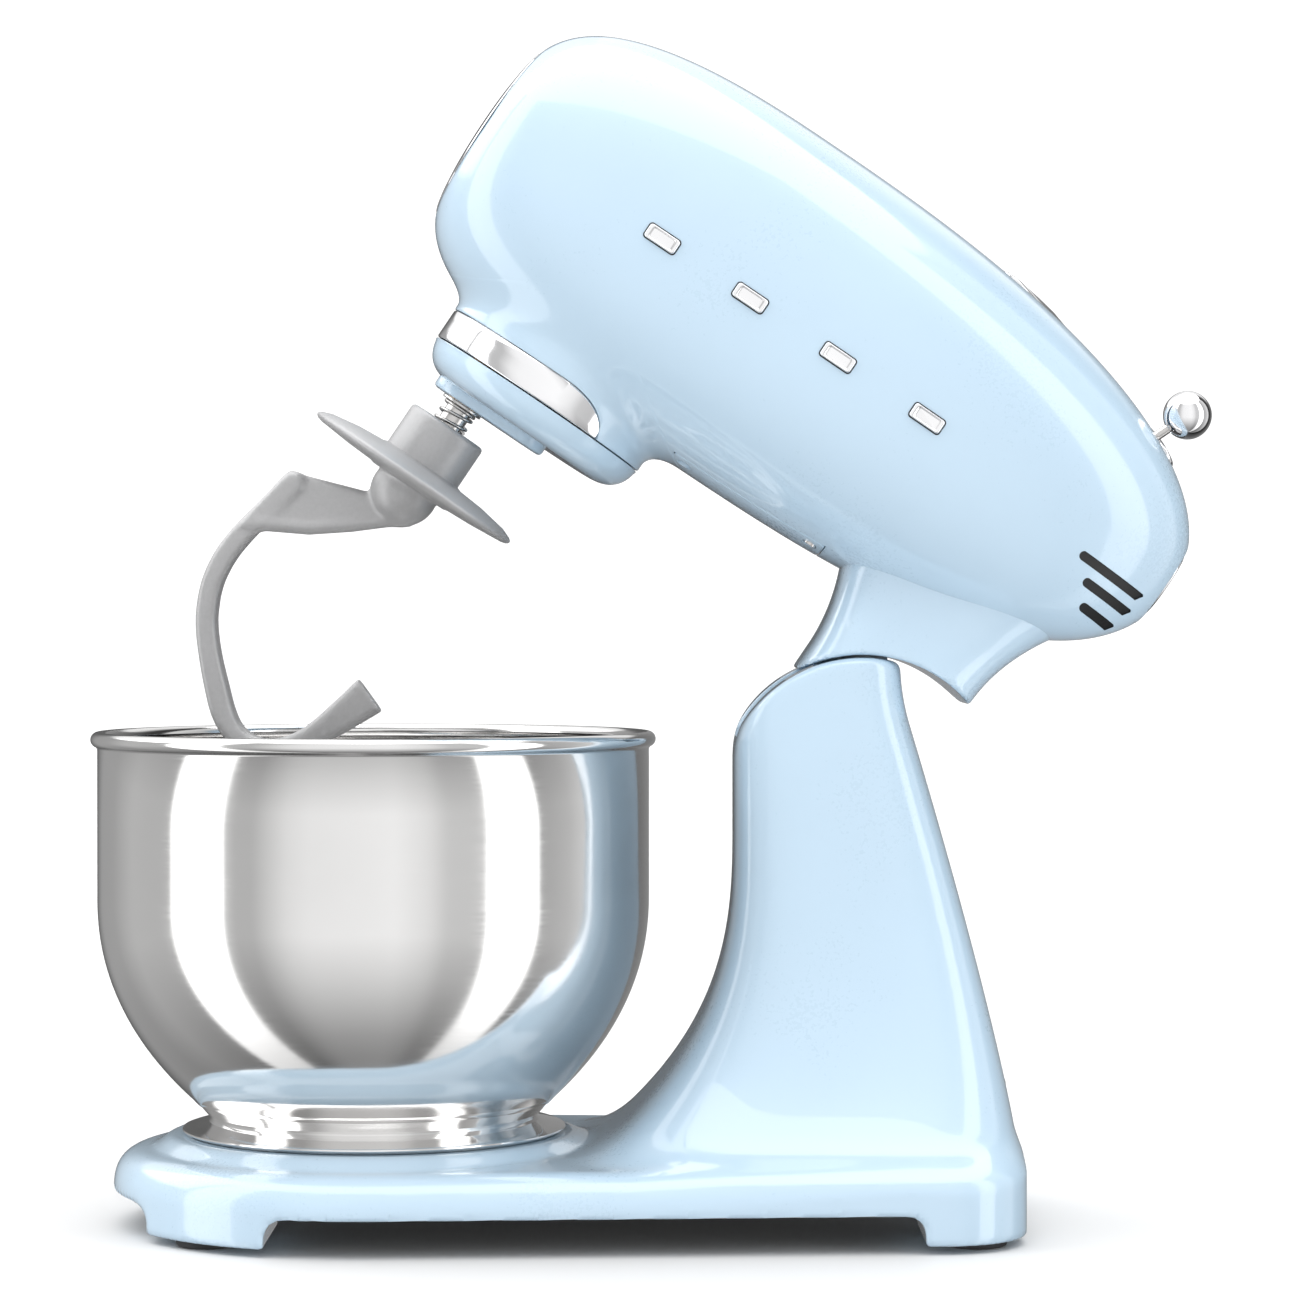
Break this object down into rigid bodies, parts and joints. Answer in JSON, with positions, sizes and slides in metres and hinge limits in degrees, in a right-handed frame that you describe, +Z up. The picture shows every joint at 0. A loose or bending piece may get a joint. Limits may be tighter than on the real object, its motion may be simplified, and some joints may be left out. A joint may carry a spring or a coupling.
{
  "type": "stand mixer",
  "caption": "Tilt-head stand mixer with its head raised, a steel bowl on the base, a dough hook with a guard disc, a geared drive and a hinged cover over the front outlet.",
  "frame": {"origin": "on the table, under the middle of the machine's bounding box", "axes": "+Z up, -X towards the front of the machine (the bowl end), +Y to the machine's left as seen from behind; the head is stored raised by 34 degrees"},
  "size_m": [0.4586, 0.2308, 0.4839],
  "materials": {
    "paint": "gloss",
    "chrome": "polished",
    "bowl_steel": "satin",
    "foot_steel": "polished",
    "coated_metal": "satin",
    "steel": "machined",
    "cast_aluminium": "cast",
    "bronze": "machined",
    "copper": "polished",
    "laminations": "matte",
    "rubber": "matte",
    "black_plastic": "matte",
    "circuit_board": "satin",
    "nylon": "satin"
  },
  "bodies": {
    "stand": {"stand_body": "paint", "base_plate": "black_plastic", "base_screws": "steel", "rubber_feet": "rubber", "bowl_plate": "foot_steel", "bowl_plate_screws": "steel", "pivot_pin": "steel", "lock_plate": "steel", "cord_inlet": "rubber"},
    "head": {"neck": "paint", "pivot_bushes": "bronze", "head_shell": "paint", "belly_cover": "paint", "cover_screws": "steel", "chrome_band": "chrome", "ring_gear": "steel", "gear_case": "cast_aluminium", "central_bearings": "steel", "main_bearings": "steel", "outlet_socket": "cast_aluminium", "cover_hinge": "chrome", "chassis": "cast_aluminium", "motor_frames": "cast_aluminium", "stator_core": "laminations", "field_coils": "copper", "brush_holders": "black_plastic", "motor_bearings": "steel", "control_board": "circuit_board", "speed_plate": "chrome", "lever_rail": "cast_aluminium", "side_trim": "chrome", "vent_grilles": "black_plastic", "button_spring": "steel"},
    "planetary": {"planet_housing": "paint", "central_shaft": "steel", "bevel_gear": "steel", "shaft_bushes": "bronze"},
    "beater": {"beater_shaft": "steel", "planet_pinion": "steel", "drive_pin": "steel", "shaft_spring": "steel", "shaft_washer": "steel"},
    "hook": {"dough_hook": "coated_metal", "hook_guard": "coated_metal"},
    "main_drive": {"main_shaft": "chrome", "bevel_pinion": "steel", "main_gear": "nylon"},
    "rotor": {"rotor_shaft": "steel", "rotor_core": "laminations", "commutator": "copper", "motor_fan": "black_plastic", "motor_pinion": "nylon"},
    "speed_lever": {"lever_stem": "steel", "lever_knob": "chrome"},
    "release_button": {"release_button": "chrome"},
    "latch_crank": {"latch_crank": "steel"},
    "lock_bolt": {"lock_bolt": "steel"},
    "hub_cover": {"hub_cover": "chrome"},
    "bowl": {"bowl": "bowl_steel", "bowl_foot": "foot_steel"}
  },
  "joints": [
    {"name": "head_tilt", "type": "hinge", "parent": "stand", "child": "head", "pos_m": [0.084, 0, 0.175], "axis": [0, 1, 0], "range_deg": [-34, 0]},
    {"name": "planetary_spin", "type": "hinge", "parent": "head", "child": "planetary", "pos_m": [-0.03709, 0, 0.34956], "axis": [0.5592, 0, 0.829], "continuous": true},
    {"name": "beater_spin", "type": "hinge", "parent": "planetary", "child": "beater", "pos_m": [-0.07012, 0, 0.3453], "axis": [0.5592, 0, 0.829], "continuous": true},
    {"name": "main_spin", "type": "hinge", "parent": "head", "child": "main_drive", "pos_m": [0.01086, 0, 0.39561], "axis": [0.829, 0, -0.5592], "continuous": true},
    {"name": "rotor_spin", "type": "hinge", "parent": "head", "child": "rotor", "pos_m": [0.08949, 0, 0.36912], "axis": [0.829, 0, -0.5592], "continuous": true},
    {"name": "speed_lever", "type": "slide", "parent": "head", "child": "speed_lever", "axis": [-0.6157, 0, 0.788], "range_m": [0, 0.058]},
    {"name": "release_button", "type": "slide", "parent": "head", "child": "release_button", "axis": [-0.829, 0, 0.5592], "range_m": [0, 0.005], "stiffness_N_per_m": 600, "deforming": ["button_spring"]},
    {"name": "latch_crank", "type": "hinge", "parent": "head", "child": "latch_crank", "pos_m": [0.10851, 0, 0.29718], "axis": [0, 1, 0], "range_deg": [-12, 0]},
    {"name": "lock_bolt", "type": "slide", "parent": "head", "child": "lock_bolt", "axis": [0.5592, 0, 0.829], "range_m": [0, 0.0045]},
    {"name": "hub_cover", "type": "hinge", "parent": "head", "child": "hub_cover", "pos_m": [-0.04766, 0, 0.47248], "axis": [-0.829, 0, 0.5592], "range_deg": [0, 150]},
    {"name": "hook_slide", "type": "slide", "parent": "beater", "child": "hook", "axis": [-0.5592, 0, -0.829], "range_m": [0, 0.045]},
    {"name": "bowl_lift", "type": "slide", "parent": "stand", "child": "bowl", "axis": [0, 0, 1], "range_m": [0, 0.04]}
  ],
  "couplings": [
    {"joint": "beater_spin", "follows": "planetary_spin", "ratio": -3},
    {"joint": "main_spin", "follows": "planetary_spin", "ratio": 3},
    {"joint": "rotor_spin", "follows": "planetary_spin", "ratio": -9},
    {"joint": "latch_crank", "follows": "release_button", "rad_per_m": -38.462},
    {"joint": "lock_bolt", "follows": "release_button", "ratio": 0.76923}
  ]
}
